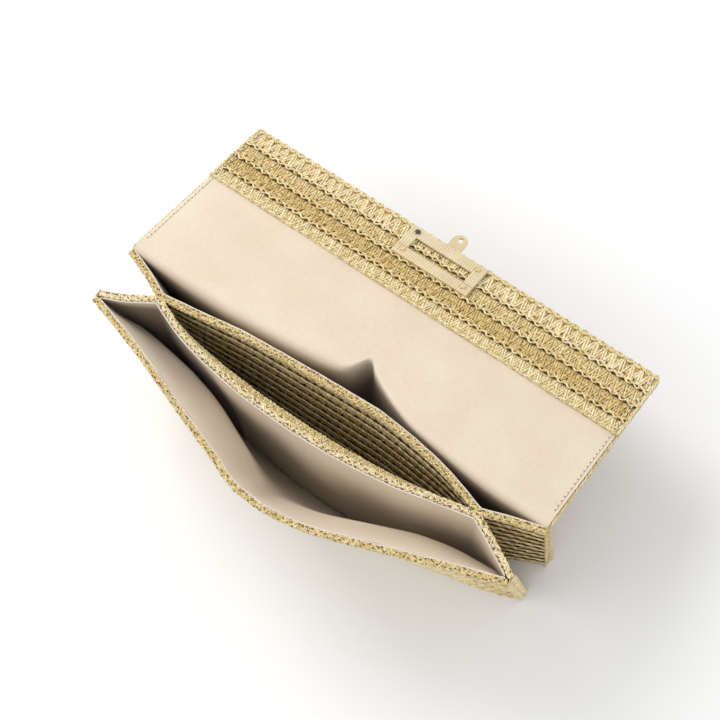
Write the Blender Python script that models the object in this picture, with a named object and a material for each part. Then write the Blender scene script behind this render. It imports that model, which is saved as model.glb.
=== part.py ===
"""Straw clutch purse, standing open with its flap thrown back.

Two flat pouches stand one behind the other: a rear pouch (back panel and rear divider) and a front pouch
(front divider and front panel). Two tacks join their dividers at the mouth, which leaves an unlined middle
pocket between them. The flap hangs from the top of the back panel by a fold and has a second fold, the
crease, where it turns down over the front when it closes. A metal frame, outer plate and tongue sit at the
flap's edge; the lock that takes the tongue sits low on the front panel.

Lengths are in millimetres until a mesh is made. x runs along the width, y to the back, z up, with z = 0 on
the table. Plan curves list (x, y) from the left end to the right end. An offset from a plan curve is
positive towards the front. On the flap, h is the height above its middle, towards the lining.
"""

import math

import bmesh
import bpy
import numpy as np
from mathutils import Vector

MM = 0.001
SHIFT_Y = -20.533  # moves the outline's centre to y = 0

# the purse as a whole
WIDTH = 270.0
HALF = WIDTH / 2
HEIGHT = 112.0
FOOT_Z = 2.0  # lower edge of the walls, above the folded bottom seams
SEAM_TOP_Z = 1.7

# layers
STRAW = 2.2
LINING = 0.9
BOARD = 0.6
GAP = 0.3
HALF_STRAW = STRAW / 2
LINING_INSET = 6.0  # from the side seams

# the flap: two folds, a straw band along its edge
HINGE_Y = 5.6
HINGE_Z = 109.9
DROOP = math.radians(20.8)
SPINE = 32.0  # fold to crease
COVER = 72.0  # crease to edge
FOLD_RADIUS = 2.0
CREASE_RADIUS = 1.7
STRAW_START = 2.4  # from a fold's axis
SOFT_START = 3.4
BAND_START = 28.0  # from the crease
STRAW_H = (-2.5, -0.3)
BOARD_H = (0.0, 0.6)
LINING_H = (0.9, 1.8)
BAND_H = (0.9, 3.1)
BOARD_END = 46.0
LINING_SIDE = 1.8
THREAD = 0.5
THREAD_SIDE = 5.0

# the clasp's flap half, from the crease and about the middle of the width
CLASP_X = 1.0
FRAME_HALF_X = 25.0
FRAME_C = (49.0, 71.0)
FRAME_H = (3.4, 5.2)
WINDOW_HALF_X = 18.5
WINDOW_C = (55.4, 64.3)
OUTER_PLATE_C = (49.0, 73.4)
OUTER_PLATE_H = (-4.2, -2.8)
RIVET_X = 20.0
RIVET_C = (53.0, 67.6)
RIVET_RADIUS = 1.0
HOLE_RADIUS = 1.35
HEAD_RADIUS = 1.6
HEAD_HEIGHT = 0.5
TONGUE_HALF_X = 4.5
TONGUE_BASE_C = 60.0
TONGUE_BASE_H = (-5.6, -4.5)
TONGUE_WALL_C = (74.0, 75.2)
TONGUE_H = (-1.2, 0.0)
TONGUE_TIP_C = 85.5
TONGUE_HOLE_C = (79.7, 83.6)
TONGUE_HOLE_RADIUS = 1.5
TONGUE_RIVET_C = 65.0

# the lock on the front panel: a runs up the panel, b out from its middle
LOCK_Z = 30.4
LOCK_HALF_X = 12.0
LOCK_A = (-15.0, 6.0)
BASE_B = (1.6, 2.5)
RAIL_B = 4.6
RAIL_X = 8.5
FLOOR_A = -13.8
SLIDER_HALF_X = 8.1
SLIDER_A = (-9.6, 4.0)
SLIDER_B = (2.7, 4.3)
SLOT_HALF_X = 4.6
SLOT_A = (-13.4, 1.8)
FACE_B = (4.9, 5.8)
NOSE_HALF = 0.8
NOSE_B = 9.8
LIP_A = 1.7
LIP_B = 8.95
TAB_HALF_X = 4.0
TAB_A = (-9.6, -7.6)
TAB_B = 7.8
LOCK_RIVET_X = 10.3
LOCK_RIVET_A = -4.5
LOCK_RIVET_RADIUS = 0.75
LOCK_HOLE_RADIUS = 1.05
BACKING_B = (-2.7, -1.9)
BACKING_HALF_X = 12.0
SPRING_RADIUS = 0.5
SPRING_WIRE = 0.18
SPRING_TURNS = 5
SPRING_A = (-13.4, -10.0)
SPRING_B = 3.5

# plan curves of the walls' middles, at the table and at the mouth: (x, y) of the right half
BACK_FOOT = [(0, -1.5), (60, -2.5), (102, -6.0), (118, -2.0), (132.6, 1.4)]
BACK_MOUTH = [(0, 7.0), (67, 5.6), (132.6, 1.4)]
REAR_FOOT = [(0, -21.0), (60, -20.5), (102, -18.5), (118, -12.0), (132.6, -5.6)]
REAR_MOUTH = [(0, -5.0), (60, -7.4), (102, -11.5), (118, -8.2), (132.6, -5.2)]
DIVIDER_FOOT = [(0, -41.0), (60, -36.5), (102, -28.8), (118, -26.0), (132.6, -23.2)]
DIVIDER_MOUTH = [(0, -31.0), (41, -29.3), (77, -24.0), (102, -15.8), (118, -23.5), (130.5, -30.8)]
FRONT_FOOT = [(0, -53.0), (20, -52.6), (60, -47.0), (94, -39.5), (119, -33.3), (132.6, -27.6)]
# the front mouth is pulled out a little more steeply on the left, so it is given whole
FRONT_MOUTH = [(-130.5, -34.2), (-100, -43.0), (-52, -58.5), (-26, -66.8), (-12, -71.9), (1, -73.2)]
FRONT_MOUTH += [(16, -72.7), (37, -68.4), (66, -58.0), (98, -46.0), (130.5, -34.2)]
MIDDLE_OF_MOUTH = FRONT_MOUTH[5]
JOIN_X = 102.0  # the dividers' tacks
TACK_HALF_X = 1.5
TACK_DROP = 12.0
COLUMNS = 40
WING_COLUMNS = 7

COLOURS = {
    "straw": ((0.60, 0.45, 0.22), 0.75, 0.0),
    "lining": ((0.74, 0.64, 0.52), 0.9, 0.0),
    "board": ((0.80, 0.78, 0.72), 0.9, 0.0),
    "thread": ((0.86, 0.78, 0.62), 0.8, 0.0),
    "gold": ((0.86, 0.72, 0.45), 0.3, 1.0),
    "steel": ((0.62, 0.62, 0.62), 0.35, 1.0),
}


def clear_scene():
    for ob in list(bpy.data.objects):
        bpy.data.objects.remove(ob, do_unlink=True)


def material(kind, name):
    colour, roughness, metallic = COLOURS[kind]
    mat = bpy.data.materials.new(name)
    mat.use_nodes = True
    shader = mat.node_tree.nodes["Principled BSDF"]
    shader.inputs["Base Color"].default_value = (*colour, 1.0)
    shader.inputs["Roughness"].default_value = roughness
    shader.inputs["Metallic"].default_value = metallic
    return mat


def add(name, kind, verts, faces, origin=(0, 0, 0), smooth=False):
    """One closed body from points in millimetres; origin is where its own axes stand."""
    base = Vector(origin)
    mesh = bpy.data.meshes.new(name)
    mesh.from_pydata([(Vector(v) - base) * MM for v in verts], [], faces)
    bm = bmesh.new()
    bm.from_mesh(mesh)
    bmesh.ops.recalc_face_normals(bm, faces=bm.faces)
    bmesh.ops.triangulate(bm, faces=[f for f in bm.faces if len(f.verts) > 4])
    bm.to_mesh(mesh)
    bm.free()
    for face in mesh.polygons:
        face.use_smooth = smooth
    ob = bpy.data.objects.new(name, mesh)
    ob.location = (base + Vector((0, SHIFT_Y, 0))) * MM
    mesh.materials.append(material(kind, name))
    bpy.context.collection.objects.link(ob)
    return ob


def cut(ob, cutters):
    """Takes each cutter out of the object and leaves a plain mesh."""
    for cutter in cutters:
        step = ob.modifiers.new("cut", "BOOLEAN")
        step.operation, step.solver, step.object = "DIFFERENCE", "EXACT", cutter
    bpy.context.view_layer.update()
    seen = ob.evaluated_get(bpy.context.evaluated_depsgraph_get())
    made = bpy.data.meshes.new_from_object(seen)
    ob.modifiers.clear()
    old, ob.data = ob.data, made
    bpy.data.meshes.remove(old)
    for cutter in cutters:
        bpy.data.objects.remove(cutter, do_unlink=True)
    return ob


# ---------------------------------------------------------------- plan curves and walls


def mirrored(right):
    return [(-x, y) for x, y in reversed(right[1:])] + list(right)


def smooth_through(points, count):
    """Points evenly spaced along a smooth curve through the given ones."""
    pts = np.array(points, float)
    ends = np.vstack([2 * pts[0] - pts[1], pts, 2 * pts[-1] - pts[-2]])
    fine = []
    for a, b, c, d in zip(ends, ends[1:], ends[2:], ends[3:], strict=False):
        t = np.linspace(0, 1, 24, endpoint=False)[:, None]
        bend = (2 * a - 5 * b + 4 * c - d) * t**2 + (3 * b - a - 3 * c + d) * t**3
        fine.append(0.5 * (2 * b + (c - a) * t + bend))
    fine = np.vstack([*fine, pts[-1:]])
    along = np.r_[0, np.cumsum(np.hypot(*np.diff(fine, axis=0).T))]
    at = np.linspace(0, along[-1], count)
    return np.stack([np.interp(at, along, fine[:, k]) for k in (0, 1)], 1)


def divider_curve(right):
    """A divider's curve, with a sharp turn at each tack."""
    whole = mirrored(right)
    turns = [i for i, p in enumerate(whole) if abs(abs(p[0]) - JOIN_X) < 0.5]
    left, middle, last = whole[: turns[0] + 1], whole[turns[0] : turns[1] + 1], whole[turns[1] :]
    parts = [(left, WING_COLUMNS), (middle, COLUMNS - 2 * WING_COLUMNS + 2), (last, WING_COLUMNS)]
    curves = [smooth_through(p, n) for p, n in parts]
    return np.vstack([curves[0], curves[1][1:], curves[2][1:]])


def offset(curve, distance):
    """The curve moved sideways, positive towards the front, with mitred corners."""
    run = np.diff(curve, axis=0)
    run /= np.hypot(*run.T)[:, None]
    side = np.stack([run[:, 1], -run[:, 0]], 1)
    before, after = np.vstack([side[:1], side]), np.vstack([side, side[-1:]])
    mean = before + after
    mean /= np.hypot(*mean.T)[:, None]
    return curve + mean * (distance / (mean * after).sum(1))[:, None]


def trimmed(curve, length):
    """The curve with the same number of points, shortened by a length at both ends."""
    along = np.r_[0, np.cumsum(np.hypot(*np.diff(curve, axis=0).T))]
    at = length + along * (along[-1] - 2 * length) / along[-1]
    inside = (along > length) & (along < along[-1] - length)
    at[1:-1] = np.where(inside[1:-1], along[1:-1], at[1:-1])  # keeps the sharp turns where they are
    at = np.sort(at)
    return np.stack([np.interp(at, along, curve[:, k]) for k in (0, 1)], 1)


def wall(name, kind, foot, mouth, near, far, bottom=FOOT_Z, top=HEIGHT, inset=0.0, rows=2):
    """A wall between two offsets of a surface ruled from its foot curve to its mouth curve."""
    if inset:
        foot, mouth = trimmed(foot, inset), trimmed(mouth, inset)
    n, verts, faces = len(foot), [], []
    levels = np.linspace(bottom, top, rows + 1)
    for distance in (near, far):
        low, high = offset(foot, distance), offset(mouth, distance)
        for z in levels:
            share = z / HEIGHT
            verts += [(x, y, z) for x, y in low * (1 - share) + high * share]
    side = n * (rows + 1)
    for k in range(rows):
        for i in range(n - 1):
            a = k * n + i
            faces.append((a, a + 1, a + n + 1, a + n))
            faces.append((side + a, side + a + n, side + a + n + 1, side + a + 1))
        for i in (0, n - 1):
            a = k * n + i
            faces.append((a, a + n, side + a + n, side + a))
    for i in range(n - 1):
        for a in (i, rows * n + i):
            faces.append((a, side + a, side + a + 1, a + 1))
    return add(name, kind, verts, faces)


def strip(name, kind, back, front, bottom, top):
    """A flat strip lying between two plan curves."""
    n = len(back)
    verts = [(x, y, z) for z in (bottom, top) for curve in (back, front) for x, y in curve]
    faces = []
    for i in range(n - 1):
        for a, b in ((0, n), (2 * n, 3 * n), (0, 2 * n), (n, 3 * n)):
            faces.append((a + i, a + i + 1, b + i + 1, b + i))
    for i in (0, n - 1):
        faces.append((i, n + i, 3 * n + i, 2 * n + i))
    return add(name, kind, verts, faces)


BOX_FACES = [(0, 1, 3, 2), (4, 5, 7, 6), (0, 1, 5, 4), (2, 3, 7, 6), (0, 2, 6, 4), (1, 3, 7, 5)]


def post(name, kind, low, high, bottom, top):
    """An upright block; low and high are its (x0, x1, y0, y1) at the bottom and at the top."""
    verts = []
    for z, (x0, x1, y0, y1) in ((bottom, low), (top, high)):
        verts += [(x, y, z) for x in (x0, x1) for y in (y0, y1)]
    return add(name, kind, verts, BOX_FACES)


# ---------------------------------------------------------------- the flap's and the lock's own axes

FOLD_AXIS = Vector((0, HINGE_Y, HINGE_Z))
ALONG = Vector((0, math.cos(DROOP), -math.sin(DROOP)))
UP = Vector((0, math.sin(DROOP), math.cos(DROOP)))
CREASE_AXIS = FOLD_AXIS + ALONG * SPINE
LOCK_TILT = math.atan2(FRONT_FOOT[0][1] - MIDDLE_OF_MOUTH[1], HEIGHT)
LOCK_MIDDLE_Y = FRONT_FOOT[0][1] - LOCK_Z * math.tan(LOCK_TILT)
LOCK_CENTRE = Vector((CLASP_X, LOCK_MIDDLE_Y, LOCK_Z))
LOCK_UP = Vector((0, -math.sin(LOCK_TILT), math.cos(LOCK_TILT)))
LOCK_OUT = Vector((0, -math.cos(LOCK_TILT), -math.sin(LOCK_TILT)))


def on_spine(x, c, h):
    return FOLD_AXIS + Vector((x, 0, 0)) + ALONG * c + UP * h


def on_cover(x, c, h):
    return CREASE_AXIS + Vector((x, 0, 0)) + ALONG * c + UP * h


def on_lock(x, a, b):
    return LOCK_CENTRE + Vector((x, 0, 0)) + LOCK_UP * a + LOCK_OUT * b


def block(name, kind, place, xs, us, vs, origin):
    """A block in a part's own axes; place turns its three coordinates into a point."""
    return add(name, kind, [place(x, u, v) for x in xs for u in us for v in vs], BOX_FACES, origin)


def prism(name, kind, place, outline, vs, origin):
    """An outline of (x, u) drawn out between two values of v."""
    n = len(outline)
    verts = [place(x, u, v) for v in vs for x, u in outline]
    faces = [tuple(range(n)), tuple(range(n, 2 * n))]
    faces += [(i, (i + 1) % n, n + (i + 1) % n, n + i) for i in range(n)]
    return add(name, kind, verts, faces, origin)


def turned(name, kind, place, x, u, profile, origin, sides=20):
    """A round piece about the line (x, u); profile lists (radius, v) from one end to the other."""
    angles = [2 * math.pi * k / sides for k in range(sides)]
    verts = [place(x + r * math.cos(t), u + r * math.sin(t), v) for r, v in profile for t in angles]
    faces = [tuple(range(sides)), tuple(range(len(verts) - sides, len(verts)))]
    for ring in range(len(profile) - 1):
        a = ring * sides
        faces += [(a + i, a + (i + 1) % sides, a + sides + (i + 1) % sides, a + sides + i) for i in range(sides)]
    return add(name, kind, verts, faces, origin, smooth=True)


def drill(place, x, u, radius, origin):
    return turned("drill", "steel", place, x, u, [(radius, -20.0), (radius, 20.0)], origin)


def rod(name, kind, centre, radius, half_length, sides=24):
    """A round rod along x."""
    verts, n = [], sides
    for x in (-half_length, half_length):
        for k in range(n):
            t = 2 * math.pi * k / n
            verts.append(centre + Vector((x, radius * math.cos(t), radius * math.sin(t))))
    faces = [tuple(range(n)), tuple(range(n, 2 * n))]
    faces += [(i, (i + 1) % n, n + (i + 1) % n, n + i) for i in range(n)]
    return add(name, kind, verts, faces, centre, smooth=True)


def coil(name, kind, origin):
    """The slider's spring, wound along the lock's a direction."""
    per_turn, sides = 14, 6
    count = SPRING_TURNS * per_turn
    verts, faces = [], []
    length = SPRING_A[1] - SPRING_A[0]
    for i in range(count + 1):
        turn = 2 * math.pi * i / per_turn
        out = (math.cos(turn), math.sin(turn))
        for k in range(sides):
            t = 2 * math.pi * k / sides
            r = SPRING_RADIUS + SPRING_WIRE * math.cos(t)
            a = SPRING_A[0] + length * i / count + SPRING_WIRE * math.sin(t)
            verts.append(on_lock(r * out[0], a, SPRING_B + r * out[1]))
    for i in range(count):
        a = i * sides
        faces += [(a + k, a + (k + 1) % sides, a + sides + (k + 1) % sides, a + sides + k) for k in range(sides)]
    faces += [tuple(range(sides)), tuple(range(count * sides, (count + 1) * sides))]
    return add(name, kind, verts, faces, origin, smooth=True)


# ---------------------------------------------------------------- the pieces


def back_panel():
    foot = smooth_through(mirrored(BACK_FOOT), COLUMNS)
    mouth = smooth_through(mirrored(BACK_MOUTH), COLUMNS)
    top = HINGE_Z - 4.4
    wall("back_panel_straw", "straw", foot, mouth, -HALF_STRAW, HALF_STRAW, top=top)
    near = HALF_STRAW + GAP
    wall("back_panel_board", "board", foot, mouth, near, near + BOARD, top=top, inset=LINING_INSET)
    near += BOARD + GAP
    wall("back_panel_lining", "lining", foot, mouth, near, near + LINING, top=top, inset=LINING_INSET)


def dividers():
    """The two inner walls: straw towards the middle pocket, lining towards the pouches."""
    straw = (-HALF_STRAW, HALF_STRAW)
    near, far = HALF_STRAW + GAP, HALF_STRAW + GAP + LINING
    rear = divider_curve(REAR_FOOT), divider_curve(REAR_MOUTH)
    front = divider_curve(DIVIDER_FOOT), divider_curve(DIVIDER_MOUTH)
    wall("rear_divider_straw", "straw", *rear, *straw)
    wall("rear_divider_lining", "lining", *rear, -far, -near, inset=LINING_INSET)
    wall("front_divider_straw", "straw", *front, *straw)
    wall("front_divider_lining", "lining", *front, near, far, inset=LINING_INSET)


def front_panel():
    foot = smooth_through(mirrored(FRONT_FOOT), COLUMNS)
    mouth = smooth_through(FRONT_MOUTH, COLUMNS)
    straw = wall("front_panel_straw", "straw", foot, mouth, -HALF_STRAW, HALF_STRAW)
    holes = [drill(on_lock, s * LOCK_RIVET_X, LOCK_RIVET_A, LOCK_HOLE_RADIUS, LOCK_CENTRE) for s in (-1, 1)]
    cut(straw, holes)
    far = -BACKING_B[0] + GAP  # the lining hangs behind the lock's backing plate
    inset = LINING_INSET + 2.0
    wall("front_panel_lining", "lining", foot, mouth, -far - LINING, -far, inset=inset)


def seams():
    """Folded bottom edges, sewn sides and the two tacks between the dividers."""
    back_foot, rear_foot = smooth_through(mirrored(BACK_FOOT), COLUMNS), divider_curve(REAR_FOOT)
    front_foot, divider_foot = smooth_through(mirrored(FRONT_FOOT), COLUMNS), divider_curve(DIVIDER_FOOT)
    bottoms = {
        "rear_pouch_bottom_seam": (back_foot, rear_foot),
        "front_pouch_bottom_seam": (divider_foot, front_foot),
    }
    for name, (back, front) in bottoms.items():
        strip(name, "straw", offset(back, -HALF_STRAW), offset(front, HALF_STRAW), 0.0, SEAM_TOP_Z)
    start, thick = 1.0, 1.4
    for side, sign in (("left", -1), ("right", 1)):
        pouches = {
            "rear": (BACK_FOOT, REAR_FOOT, BACK_MOUTH, REAR_MOUTH, HINGE_Z - 6.0),
            "front": (DIVIDER_FOOT, FRONT_FOOT, DIVIDER_MOUTH, FRONT_MOUTH, HEIGHT),
        }
        for pouch, (back_low, front_low, back_high, front_high, top) in pouches.items():
            low, high = [], []
            for ends, back, front in ((low, back_low, front_low), (high, back_high, front_high)):
                x = back[-1][0] + start
                xs = sorted((sign * x, sign * (x + thick)))
                ends += [*xs, front[-1][1] - HALF_STRAW, back[-1][1] + HALF_STRAW]
            post(f"{pouch}_pouch_side_seam_{side}", "straw", low, high, FOOT_Z, top)
        xs = (sign * JOIN_X - TACK_HALF_X, sign * JOIN_X + TACK_HALF_X)
        top, bottom = HEIGHT - 1.5, HEIGHT - 1.5 - TACK_DROP
        post(f"divider_tack_{side}", "thread", (*xs, -15.6, -13.6), (*xs, -14.2, -13.1), bottom, top)


def flap():
    """The spine between the two folds, the cover beyond the crease and the straw band inside its edge."""
    rod("flap_fold_roll", "straw", FOLD_AXIS, FOLD_RADIUS, HALF)
    rod("flap_crease_roll", "straw", CREASE_AXIS, CREASE_RADIUS, HALF)
    full, inner = (-HALF, HALF), (-HALF + LINING_SIDE, HALF - LINING_SIDE)
    spine = {
        "straw": (full, (STRAW_START, SPINE - STRAW_START), STRAW_H),
        "board": (inner, (SOFT_START, SPINE - SOFT_START), BOARD_H),
        "lining": (inner, (SOFT_START, SPINE - SOFT_START), LINING_H),
    }
    for kind, (xs, cs, hs) in spine.items():
        block(f"flap_spine_{kind}", kind, on_spine, xs, cs, hs, FOLD_AXIS)
    cover = {
        "straw": (full, (STRAW_START, COVER), STRAW_H),
        "board": (inner, (SOFT_START, BOARD_END), BOARD_H),
        "lining": (inner, (SOFT_START, BAND_START - GAP), LINING_H),
    }
    made = {k: block(f"flap_cover_{k}", k, on_cover, *v, CREASE_AXIS) for k, v in cover.items()}
    band = block("flap_facing_band", "straw", on_cover, full, (BAND_START, COVER - GAP), BAND_H, CREASE_AXIS)
    for ob in (made["straw"], band):
        cut(ob, clasp_drills())
    low, high = LINING_H[1] + GAP, LINING_H[1] + GAP + THREAD
    for side, sign in (("left", -1), ("right", 1)):
        x = sign * (HALF - THREAD_SIDE)
        line = (x - THREAD / 2, x + THREAD / 2)
        cs = (SOFT_START + 1, BAND_START - 1)
        block(f"flap_side_stitch_{side}", "thread", on_cover, line, cs, (low, high), CREASE_AXIS)
    cs = (BAND_START + 1.2, BAND_START + 1.2 + THREAD)
    hs = (BAND_H[1] + GAP, BAND_H[1] + GAP + THREAD)
    block("band_stitch", "thread", on_cover, (-HALF + THREAD_SIDE, HALF - THREAD_SIDE), cs, hs, CREASE_AXIS)


def clasp_drills():
    spots = [(CLASP_X + s * RIVET_X, c) for s in (-1, 1) for c in RIVET_C]
    return [drill(on_cover, x, c, HOLE_RADIUS, CREASE_AXIS) for x, c in spots]


def rounded(half_x, u0, u1, radius, steps=4):
    """A rectangle's outline with rounded corners, about the clasp's middle."""
    corners = [(1, u1, 0), (-1, u1, 90), (-1, u0, 180), (1, u0, 270)]
    points = []
    for sign, u, start in corners:
        cx, cu = CLASP_X + sign * (half_x - radius), u - math.copysign(radius, u - (u0 + u1) / 2)
        for k in range(steps + 1):
            t = math.radians(start + 90 * k / steps)
            points.append((cx + radius * math.cos(t), cu + radius * math.sin(t)))
    return points


def clasp():
    """Inner frame, outer plate and tongue, held by four rivets through the flap's edge."""
    frame = prism("clasp_frame", "gold", on_cover, rounded(FRAME_HALF_X, *FRAME_C, 1.0), FRAME_H, CREASE_AXIS)
    window = block(
        "window",
        "gold",
        on_cover,
        (CLASP_X - WINDOW_HALF_X, CLASP_X + WINDOW_HALF_X),
        WINDOW_C,
        (FRAME_H[0] - 1, FRAME_H[1] + 1),
        CREASE_AXIS,
    )
    cut(frame, [window, *clasp_drills()])
    outline = rounded(FRAME_HALF_X, *OUTER_PLATE_C, 2.0)
    plate = prism("clasp_outer_plate", "gold", on_cover, outline, OUTER_PLATE_H, CREASE_AXIS)
    tongue_hole = drill(on_cover, CLASP_X, TONGUE_RIVET_C, HOLE_RADIUS, CREASE_AXIS)
    cut(plate, [*clasp_drills(), tongue_hole])
    ends = (OUTER_PLATE_H[0] - GAP, FRAME_H[1] + GAP)
    profile = [(HEAD_RADIUS, ends[0] - HEAD_HEIGHT), (HEAD_RADIUS, ends[0]), (RIVET_RADIUS, ends[0])]
    profile += [(RIVET_RADIUS, ends[1]), (HEAD_RADIUS, ends[1]), (HEAD_RADIUS * 0.8, ends[1] + HEAD_HEIGHT)]
    for side, sign in (("left", -1), ("right", 1)):
        for place, c in zip(("inner", "edge"), RIVET_C, strict=True):
            x = CLASP_X + sign * RIVET_X
            turned(f"clasp_rivet_{place}_{side}", "gold", on_cover, x, c, profile, CREASE_AXIS)
    tongue()
    low, high = TONGUE_BASE_H[0] - GAP, OUTER_PLATE_H[1]
    profile = [(HEAD_RADIUS, low - HEAD_HEIGHT), (HEAD_RADIUS, low), (RIVET_RADIUS, low), (RIVET_RADIUS, high)]
    turned("tongue_rivet", "gold", on_cover, CLASP_X, TONGUE_RIVET_C, profile, CREASE_AXIS)


def tongue():
    """A strip on the outer plate, stepped at the flap's edge to the height of the flap's middle."""
    side = [
        (TONGUE_BASE_C, TONGUE_BASE_H[0]),
        (TONGUE_WALL_C[1], TONGUE_BASE_H[0]),
        (TONGUE_WALL_C[1], TONGUE_H[0]),
        (TONGUE_TIP_C, TONGUE_H[0]),
        (TONGUE_TIP_C, TONGUE_H[1]),
        (TONGUE_WALL_C[0], TONGUE_H[1]),
        (TONGUE_WALL_C[0], TONGUE_BASE_H[1]),
        (TONGUE_BASE_C, TONGUE_BASE_H[1]),
    ]
    n = len(side)
    verts = [on_cover(CLASP_X + s * TONGUE_HALF_X, c, h) for s in (-1, 1) for c, h in side]
    faces = [tuple(range(n)), tuple(range(n, 2 * n))]
    faces += [(i, (i + 1) % n, n + (i + 1) % n, n + i) for i in range(n)]
    body = add("clasp_tongue", "gold", verts, faces, CREASE_AXIS)
    centre_c, r, far = TONGUE_TIP_C - TONGUE_HALF_X, TONGUE_HALF_X, TONGUE_TIP_C + 2
    through = (TONGUE_H[0] - 1, TONGUE_H[1] + 1)
    quarter = np.linspace(0, math.pi / 2, 9)
    corners = []
    for sign in (-1, 1):  # what is left outside the round tip
        arc = [(CLASP_X + sign * r * math.cos(t), centre_c + r * math.sin(t)) for t in quarter]
        outer_x = CLASP_X + sign * (r + 2)
        edge = [(CLASP_X, far), (outer_x, far), (outer_x, centre_c)]
        corners.append(prism("corner", "gold", on_cover, arc + edge, through, CREASE_AXIS))
    hole_outline = rounded(TONGUE_HOLE_RADIUS, *TONGUE_HOLE_C, TONGUE_HOLE_RADIUS - 0.01)
    hole = prism("hole", "gold", on_cover, hole_outline, through, CREASE_AXIS)
    base_hole = drill(on_cover, CLASP_X, TONGUE_RIVET_C, HOLE_RADIUS, CREASE_AXIS)
    cut(body, [*corners, hole, base_hole])


def lock():
    """The lock on the front panel: a tray, a sprung slider whose nose catches the tongue, and a face plate."""
    origin = LOCK_CENTRE
    spots = [s * LOCK_RIVET_X for s in (-1, 1)]

    def drills():
        return [drill(on_lock, x, LOCK_RIVET_A, LOCK_HOLE_RADIUS, origin) for x in spots]

    box = (-LOCK_HALF_X, LOCK_HALF_X)
    tray = block("lock_base", "gold", on_lock, box, LOCK_A, (BASE_B[0], RAIL_B), origin)
    inside = (FLOOR_A, LOCK_A[1] + 1), (BASE_B[1], RAIL_B + 1)
    room = block("room", "gold", on_lock, (-RAIL_X, RAIL_X), *inside, origin)
    cut(tray, [room, *drills()])
    face = block("lock_face_plate", "gold", on_lock, box, LOCK_A, FACE_B, origin)
    through = (FACE_B[0] - 1, FACE_B[1] + 1)
    slot = block("slot", "gold", on_lock, (-SLOT_HALF_X, SLOT_HALF_X), SLOT_A, through, origin)
    cut(face, [slot, *drills()])
    wide, tall = (-BACKING_HALF_X, BACKING_HALF_X), (LOCK_A[0] + 3, LOCK_A[1])
    backing = block("lock_backing_plate", "steel", on_lock, wide, tall, BACKING_B, origin)
    cut(backing, drills())
    top = FACE_B[1] + GAP
    profile = [(LOCK_RIVET_RADIUS, BACKING_B[0]), (LOCK_RIVET_RADIUS, top), (HEAD_RADIUS, top)]
    profile += [(HEAD_RADIUS * 0.8, top + HEAD_HEIGHT)]
    for side, x in zip(("left", "right"), spots, strict=True):
        turned(f"lock_rivet_{side}", "gold", on_lock, x, LOCK_RIVET_A, profile, origin)
    slider(origin)
    coil("lock_spring", "steel", origin)


def slider(origin):
    """A flat plate with a lipped nose and, below it, the thumb tab that pulls it down."""
    blocks = [
        ((-SLIDER_HALF_X, SLIDER_HALF_X), SLIDER_A, SLIDER_B),
        ((-NOSE_HALF, NOSE_HALF), (-NOSE_HALF, NOSE_HALF), (SLIDER_B[1] - 0.5, NOSE_B)),
        ((-NOSE_HALF, NOSE_HALF), (0, LIP_A), (LIP_B, NOSE_B)),
        ((-TAB_HALF_X, TAB_HALF_X), TAB_A, (SLIDER_B[1] - 0.5, TAB_B)),
    ]
    made = [block("lock_slider", "gold", on_lock, *b, origin) for b in blocks]
    body = made[0]
    for extra in made[1:]:
        step = body.modifiers.new("join", "BOOLEAN")
        step.operation, step.solver, step.object = "UNION", "EXACT", extra
    cut(body, [])
    for extra in made[1:]:
        bpy.data.objects.remove(extra, do_unlink=True)
    body.name = "lock_slider"


clear_scene()
back_panel()
dividers()
front_panel()
seams()
flap()
clasp()
lock()
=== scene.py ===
"""Looks of a straw clutch purse that stands open with its flap thrown back.

Lengths are in millimetres in the purse's own axes until a mesh is made: x along the width, y to the back with
y = 0 where the flap begins at the sides, z up from the table. On the back sheet, which is the back wall, the
fold and the flap in one, h is the height towards the lining; on the other walls d is the distance towards the
front.
"""

import math

import bpy
import numpy as np
from mathutils import Matrix, Vector


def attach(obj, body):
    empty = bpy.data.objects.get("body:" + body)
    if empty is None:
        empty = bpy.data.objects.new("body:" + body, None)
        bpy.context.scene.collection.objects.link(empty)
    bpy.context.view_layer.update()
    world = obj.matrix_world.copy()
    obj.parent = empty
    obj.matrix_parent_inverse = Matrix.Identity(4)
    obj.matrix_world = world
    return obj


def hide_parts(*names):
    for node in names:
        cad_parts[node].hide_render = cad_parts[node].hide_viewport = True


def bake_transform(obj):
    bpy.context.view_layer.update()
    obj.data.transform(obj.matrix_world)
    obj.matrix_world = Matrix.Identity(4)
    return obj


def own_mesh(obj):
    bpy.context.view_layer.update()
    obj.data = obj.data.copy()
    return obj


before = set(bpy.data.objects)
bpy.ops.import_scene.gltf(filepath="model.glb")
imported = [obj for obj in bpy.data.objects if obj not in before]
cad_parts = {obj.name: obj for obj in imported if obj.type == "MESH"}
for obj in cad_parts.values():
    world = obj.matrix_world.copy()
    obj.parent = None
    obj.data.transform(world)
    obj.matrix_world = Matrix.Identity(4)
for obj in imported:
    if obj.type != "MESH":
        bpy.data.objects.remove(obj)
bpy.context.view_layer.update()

MM = 0.001
SHIFT_Y = -20.533  # the shared frame's y, in mm, where the purse's own y is 0
WIDTH, HALF, HEIGHT = 270.0, 135.0, 112.0
DROOP = math.radians(20.8)  # how far the opened flap hangs below the level
ALONG = np.array([math.cos(DROOP), -math.sin(DROOP)])  # (y, z) down the opened flap
# distances down the flap: its hinge lines, the ends of the parts that bend at each, and the band's two edges
HINGE_S, CREASE_S = 6.0, 38.0
SPLIT_S, COVER_S, BAND_S, EDGE_S = 33.0, 44.0, 66.0, 109.6

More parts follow.
